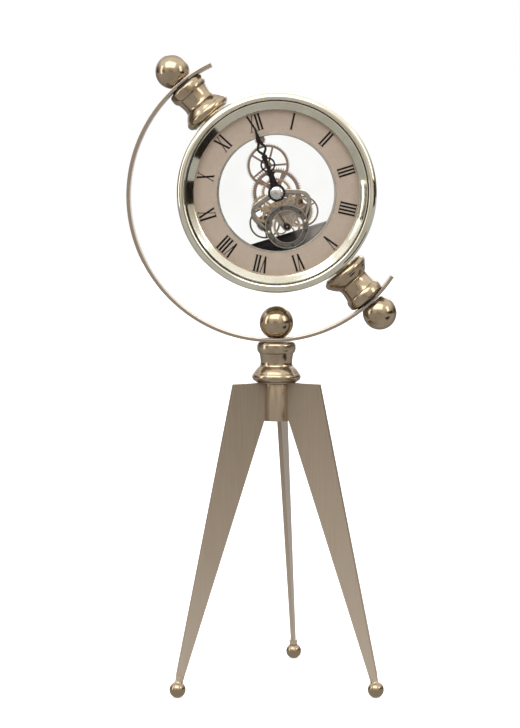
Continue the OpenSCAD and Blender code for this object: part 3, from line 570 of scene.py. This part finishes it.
def turned(node_name, outline, matrix, material, body, slot, steps=160):
    """A finer turned piece that stands for a CAD node."""
    name = node_name + "_turned"
    piece(name, lathe(name, outline, steps), matrix, material, body, [node_name])


def on_stand(node_name, below_top):
    """The stand's axis, so far below the top of a node."""
    return moved(STAND.x, STAND.y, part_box(node_name)[1].z / MM - below_top)


CHAMPAGNE = (champagne, "stand", "champagne_polished")
turned("stand_ball", ball_outline(STAND_BALL_FLAT), on_stand("stand_ball", BALL_R), *CHAMPAGNE)
turned("stand_collar", post_outline(STUD_R, STUD_R + 0.01, 1), on_stand("stand_collar", 0) @ FLIP,
       *CHAMPAGNE)
for side in ("upper", "lower"):
    turned(side + "_ball", ball_outline(BALL_FLAT), trunnion(side, BALL_DIST), *CHAMPAGNE)
    turned(side + "_post", post_outline(STUD_R, PIN_R, 12), trunnion(side, POST_END) @ FLIP,
           *CHAMPAGNE)

bezel_outline = (
    [(68.2, GLASS_FRONT - GASKET_GAP), (68.2, -19.2)]
    + arc(69.8, -19.4, 1.6, 180, 270, 16)
    + arc(70.1, -16.8, 4.2, 270, 360, 40)
    + [(BEZEL_R, BEZEL_BACK), (72.02, BEZEL_BACK), (72.02, -11.52), (69.5, -11.52), (69, -12.02),
       (69, GLASS_FRONT - GASKET_GAP)]
)
turned("front_bezel", bezel_outline, DIAL_FRAME @ TURNED, pale_gold, "drum", "pale_gold", 256)

reflector_slope = [(61.9, -12.6), (63.2, -13.55), (65, -14.95), (66.9, GLASS_BACK)]
reflector_outline = (
    [(66.9, GLASS_BACK), (68.9, GLASS_BACK), (68.9, -7.8), (61.8, -7.8), (61.6, -12)]
    + spline(reflector_slope, 8)[:-1]
)
turned("reflector_ring", reflector_outline, DIAL_FRAME @ TURNED, pale_gold, "drum", "pale_gold", 256)

nut_outline = [(0, NUT_BACK), (NUT_R, NUT_BACK)]
for degrees in range(0, 90, 3):
    t = math.radians(degrees)
    nut_outline.append((NUT_R * math.cos(t), NUT_BACK - NUT_WALL - NUT_DOME * math.sin(t)))
nut_outline.append((0, NUT_BACK - NUT_WALL - NUT_DOME))
turned("hand_nut", nut_outline, DIAL_FRAME @ TURNED, chrome, "minute_arbor", "silver_trim", 96)


# ---------------------------------------------------------------- small detail
def rim_outline(inner):
    """A thin raised rim on the seconds dial, with both upper edges broken."""
    outer = inner + 0.34
    return [(inner, -9.3), (inner, -9.52), (inner + 0.08, -9.6),
            (outer - 0.08, -9.6), (outer, -9.52), (outer, -9.3)]


def seconds_numerals():
    """The generic 10 to 60 on the small ring, each upright on its own spoke."""
    bm = bmesh.new()
    upright = Matrix.Rotation(math.radians(90), 4, "X")
    for k in range(1, 7):
        curve = bpy.data.curves.new("number", "FONT")
        curve.body = str(10 * k)
        curve.size = 2.5 * MM
        curve.align_x = "CENTER"
        curve.align_y = "CENTER"
        curve.extrude = 0.02 * MM
        obj = bpy.data.objects.new("number", curve)
        mesh = bpy.data.meshes.new_from_object(obj)
        mesh.transform(about_y(60 * k) @ moved(0, 0, 14.1) @ upright)
        bm.from_mesh(mesh)
        bpy.data.objects.remove(obj)
    bmesh.ops.remove_doubles(bm, verts=bm.verts, dist=1e-7)
    mesh = bpy.data.meshes.new("seconds_numerals")
    bm.to_mesh(mesh)
    bm.free()
    return mesh


for rim_name, inner in (("seconds_rim_inner", 11.75), ("seconds_rim_outer", 15.85)):
    piece(rim_name, lathe(rim_name, rim_outline(inner)), SECONDS_FRAME @ TURNED, chrome, "drum")
piece("seconds_numerals", seconds_numerals(), SECONDS_FRAME @ moved(0, SECONDS_FACE, 0), ink, "drum")


# ---------------------------------------------------------------- floor, light and camera, in metres
# what the lights and the dark cards point at
MIDDLE = (0.01, -0.02, 0.27)
DIAL_AIM = (0.01, -0.02, 0.37)


def camera_only(tree, seen_shader, other_shader):
    """One shader for what the camera sees itself, the other for reflections and light."""
    seen = add(tree, "LightPath").outputs["Is Camera Ray"]
    return add(tree, "MixShader", {"Fac": seen, 1: other_shader.outputs[0], 2: seen_shader.outputs[0]})


def card(name, width, height):
    """A flat rectangle in the XY plane, in metres."""
    w, h = width / 2, height / 2
    mesh = bpy.data.meshes.new(name)
    mesh.from_pydata([(-w, -h, 0), (w, -h, 0), (w, h, 0), (-w, h, 0)], [], [(0, 1, 2, 3)])
    obj = bpy.data.objects.new(name, mesh)
    scene.collection.objects.link(obj)
    return obj


def stage_floor():
    floor = card("floor", 18, 18)
    mat, tree = new_material("floor_white")
    diffuse = add(tree, "BsdfDiffuse", {"Color": (0.9, 0.9, 0.9, 1)})
    lift = add(tree, "Emission", {"Color": (1, 1, 1, 1), "Strength": 0.5})
    lifted = add(tree, "AddShader", {0: diffuse.outputs[0], 1: lift.outputs[0]})
    shown = add(tree, "Emission", {"Color": (1, 1, 1, 1), "Strength": 0.5})
    add(tree, "OutputMaterial", {"Surface": camera_only(tree, lifted, shown).outputs[0]})
    floor.data.materials.append(mat)


def studio_world():
    """Studio walls with dark gaps, brighter behind and above; plain white to the camera itself."""
    world = bpy.data.worlds.new("studio")
    scene.world = world
    world.use_nodes = True
    tree = world.node_tree
    tree.nodes.clear()
    direction = add(tree, "TexCoord").outputs["Generated"]
    split = add(tree, "SeparateXYZ", {"Vector": direction}).outputs
    turn = maths(tree, "ARCTAN2", split["Y"], split["X"])
    around = spread(tree, turn, 0.0, 1.0, -math.pi, math.pi)
    gap = (66, 56, 48)
    walls = ramp(tree, around, [
        (0.0, (150, 148, 146)), (0.05, (176, 172, 168)), (0.075, (40, 36, 34)),
        (0.1, (186, 180, 174)), (0.17, (196, 190, 182)), (0.2, (150, 142, 134)),
        (0.25, (176, 168, 158)), (0.31, (196, 188, 178)), (0.36, (170, 162, 152)),
        (0.4, (44, 38, 34)), (0.43, (176, 168, 158)), (0.5, (150, 142, 134)),
        (0.55, gap), (0.62, gap), (0.67, (236, 232, 228)), (0.75, (246, 244, 240)),
        (0.85, (236, 232, 228)), (0.89, gap), (0.95, gap), (1.0, (150, 148, 146)),
    ])
    up = ramp(tree, split["Z"], [(0.0, (0, 0, 0)), (0.2, (90, 90, 90)), (0.6, (255, 255, 255))])
    studio = mixed_colour(tree, up, walls, (0.9, 0.9, 0.9, 1))
    lit = add(tree, "Background", {"Color": studio, "Strength": 1.35})
    white = add(tree, "Background", {"Color": (1, 1, 1, 1), "Strength": 1.0})
    add(tree, "OutputWorld", {"Surface": camera_only(tree, white, lit).outputs[0]})


def aim_at(obj, place, target, axis):
    """Put the object at a place in metres, with its axis towards the target."""
    obj.location = place
    obj.rotation_euler = (Vector(target) - Vector(place)).to_track_quat(axis, "Y").to_euler()


def soft_light(name, place, size, power, tint=(1, 1, 1)):
    data = bpy.data.lights.new(name, "AREA")
    data.shape = "RECTANGLE"
    data.size, data.size_y = size
    data.energy = power
    data.color = tint
    lamp = bpy.data.objects.new(name, data)
    scene.collection.objects.link(lamp)
    aim_at(lamp, place, MIDDLE, "-Z")


def dark_flag(name, place, size, target=DIAL_AIM):
    """A black card the camera can't see: it gives the polished metal dark edges to mirror."""
    flag = card(name, *size)
    aim_at(flag, place, target, "Z")
    flag.visible_camera = False
    flag.visible_shadow = False
    flag.visible_diffuse = False
    mat, tree = new_material(name)
    black = add(tree, "BsdfDiffuse", {"Color": (0.012, 0.010, 0.009, 1)})
    add(tree, "OutputMaterial", {"Surface": black.outputs[0]})
    flag.data.materials.append(mat)


stage_floor()
studio_world()
soft_light("key", (-0.4, -1.4, 1.9), (2.4, 1.5), 24)
soft_light("right_fill", (1.5, -0.9, 0.9), (0.5, 1.2), 5, (1, 0.97, 0.93))
soft_light("left_fill", (-1.6, -0.4, 0.7), (0.4, 1.2), 3)
soft_light("rear", (0.3, 1.7, 1.3), (1.4, 0.6), 7)
dark_flag("flag_right", (1.13, -0.34, 0.37), (0.9, 0.3))
dark_flag("flag_left", (-1.0, -0.72, 0.5), (0.07, 0.5))
dark_flag("flag_far_left", (-1.15, -0.45, 0.5), (0.05, 0.5))
dark_flag("flag_behind", (-0.1, -1.75, 0.34), (0.16, 0.22))
dark_flag("flag_behind_low", (0.28, -1.7, 0.2), (0.12, 0.14))
dark_flag("flag_floor", (0.62, -0.32, 0.004), (0.5, 0.3), (0.62, -0.32, 1))

camera_data = bpy.data.cameras.new("camera")
camera_data.lens = LENS
camera_data.clip_end = 30
camera = bpy.data.objects.new("camera", camera_data)
scene.collection.objects.link(camera)
camera.location = (STAND + Vector((CAMERA_RIGHT, -CAMERA_AWAY, CAMERA_HEIGHT))) * MM
camera.rotation_euler = (math.radians(90 - CAMERA_DOWN), 0, 0)
scene.camera = camera
scene.view_settings.view_transform = "Standard"

# ---------------------------------------------------------------- the end
bpy.context.view_layer.update()
